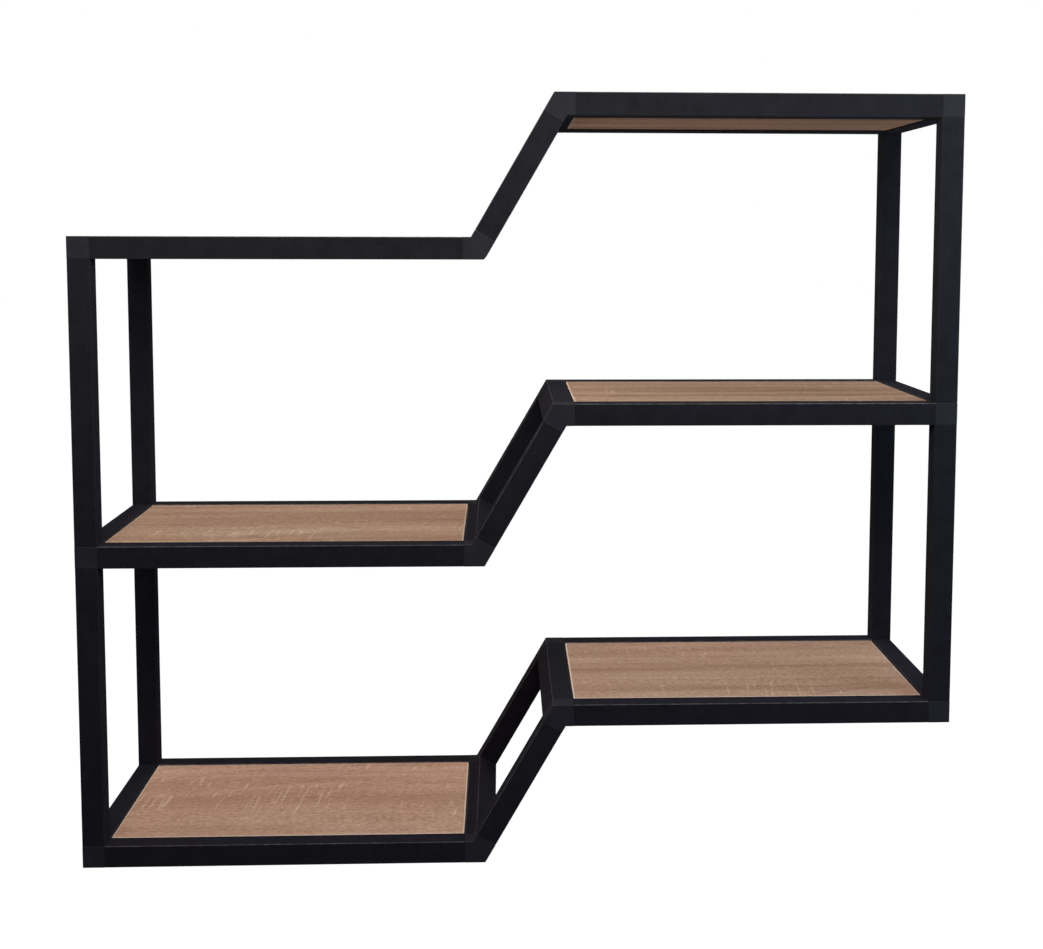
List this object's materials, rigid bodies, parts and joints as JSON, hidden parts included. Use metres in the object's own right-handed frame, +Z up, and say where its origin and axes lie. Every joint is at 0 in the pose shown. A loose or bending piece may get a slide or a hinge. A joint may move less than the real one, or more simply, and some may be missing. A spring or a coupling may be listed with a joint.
{
  "type": "zigzag bookshelf",
  "caption": "Wall-hung open bookshelf of black square tube with inset wood boards; a lower and a raised section are joined at each level by slanting braces.",
  "frame": {"origin": "on the wall plane, at the middle of the middle rear brace", "axes": "+X to the right seen from the front, +Y towards the wall, +Z up"},
  "size_m": [0.7898, 0.23, 0.697],
  "materials": {
    "tube": "matte black powder coat",
    "connector": "matte black moulded",
    "board": "light oak laminate, satin"
  },
  "bodies": {
    "root": {"rail_left_bottom_front": "tube", "rail_left_bottom_rear": "tube", "end_blocks_left_bottom": "connector", "elbows_left_bottom": "connector", "end_cross_left_bottom": "tube", "elbow_cross_left_bottom": "tube", "board_left_bottom": "board", "rail_left_middle_front": "tube", "rail_left_middle_rear": "tube", "end_blocks_left_middle": "connector", "elbows_left_middle": "connector", "end_cross_left_middle": "tube", "elbow_cross_left_middle": "tube", "board_left_middle": "board", "rail_left_top_front": "tube", "rail_left_top_rear": "tube", "end_blocks_left_top": "connector", "elbows_left_top": "connector", "end_cross_left_top": "tube", "elbow_cross_left_top": "tube", "board_left_top": "board", "upright_left_lower_front": "tube", "upright_left_lower_rear": "tube", "upright_left_upper_front": "tube", "upright_left_upper_rear": "tube", "rail_right_bottom_front": "tube", "rail_right_bottom_rear": "tube", "end_blocks_right_bottom": "connector", "elbows_right_bottom": "connector", "end_cross_right_bottom": "tube", "elbow_cross_right_bottom": "tube", "board_right_bottom": "board", "rail_right_middle_front": "tube", "rail_right_middle_rear": "tube", "end_blocks_right_middle": "connector", "elbows_right_middle": "connector", "end_cross_right_middle": "tube", "elbow_cross_right_middle": "tube", "board_right_middle": "board", "rail_right_top_front": "tube", "rail_right_top_rear": "tube", "end_blocks_right_top": "connector", "elbows_right_top": "connector", "end_cross_right_top": "tube", "elbow_cross_right_top": "tube", "board_right_top": "board", "upright_right_lower_front": "tube", "upright_right_lower_rear": "tube", "upright_right_upper_front": "tube", "upright_right_upper_rear": "tube", "brace_bottom_front": "tube", "brace_bottom_rear": "tube", "brace_middle_front": "tube", "brace_middle_rear": "tube", "brace_top_front": "tube", "brace_top_rear": "tube"}
  },
  "joints": []
}
